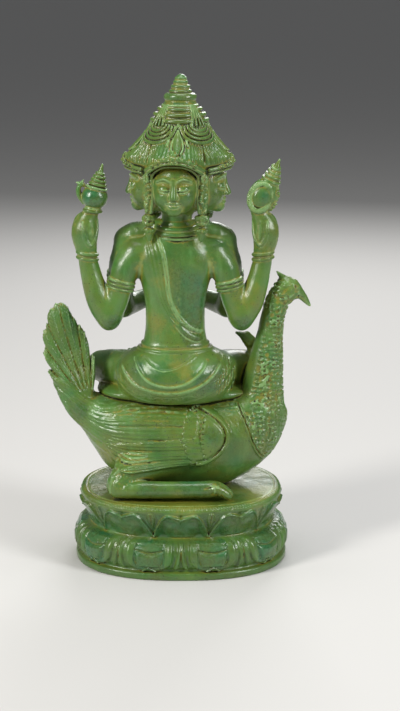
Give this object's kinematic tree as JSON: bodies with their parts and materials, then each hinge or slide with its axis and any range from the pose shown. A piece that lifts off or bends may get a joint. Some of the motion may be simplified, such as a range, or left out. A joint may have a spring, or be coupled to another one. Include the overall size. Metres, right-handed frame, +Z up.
{
  "type": "brahma statue",
  "caption": "Patinated bronze statue of a four-faced, four-armed deity seated cross-legged on a goose that stands on an oval lotus base.",
  "frame": {"origin": "centre of the flat underside of the lotus base, in the plane it stands on", "axes": "+Z up; +Y the way the seated figure looks, so its back and the side with its rear pair of arms faces -Y; +X the way the goose looks"},
  "size_m": [0.1656, 0.1092, 0.3],
  "materials": {
    "patinated_bronze": "waxed green patina"
  },
  "bodies": {
    "root": {"brahma_goose_statue": "patinated_bronze"}
  },
  "joints": []
}
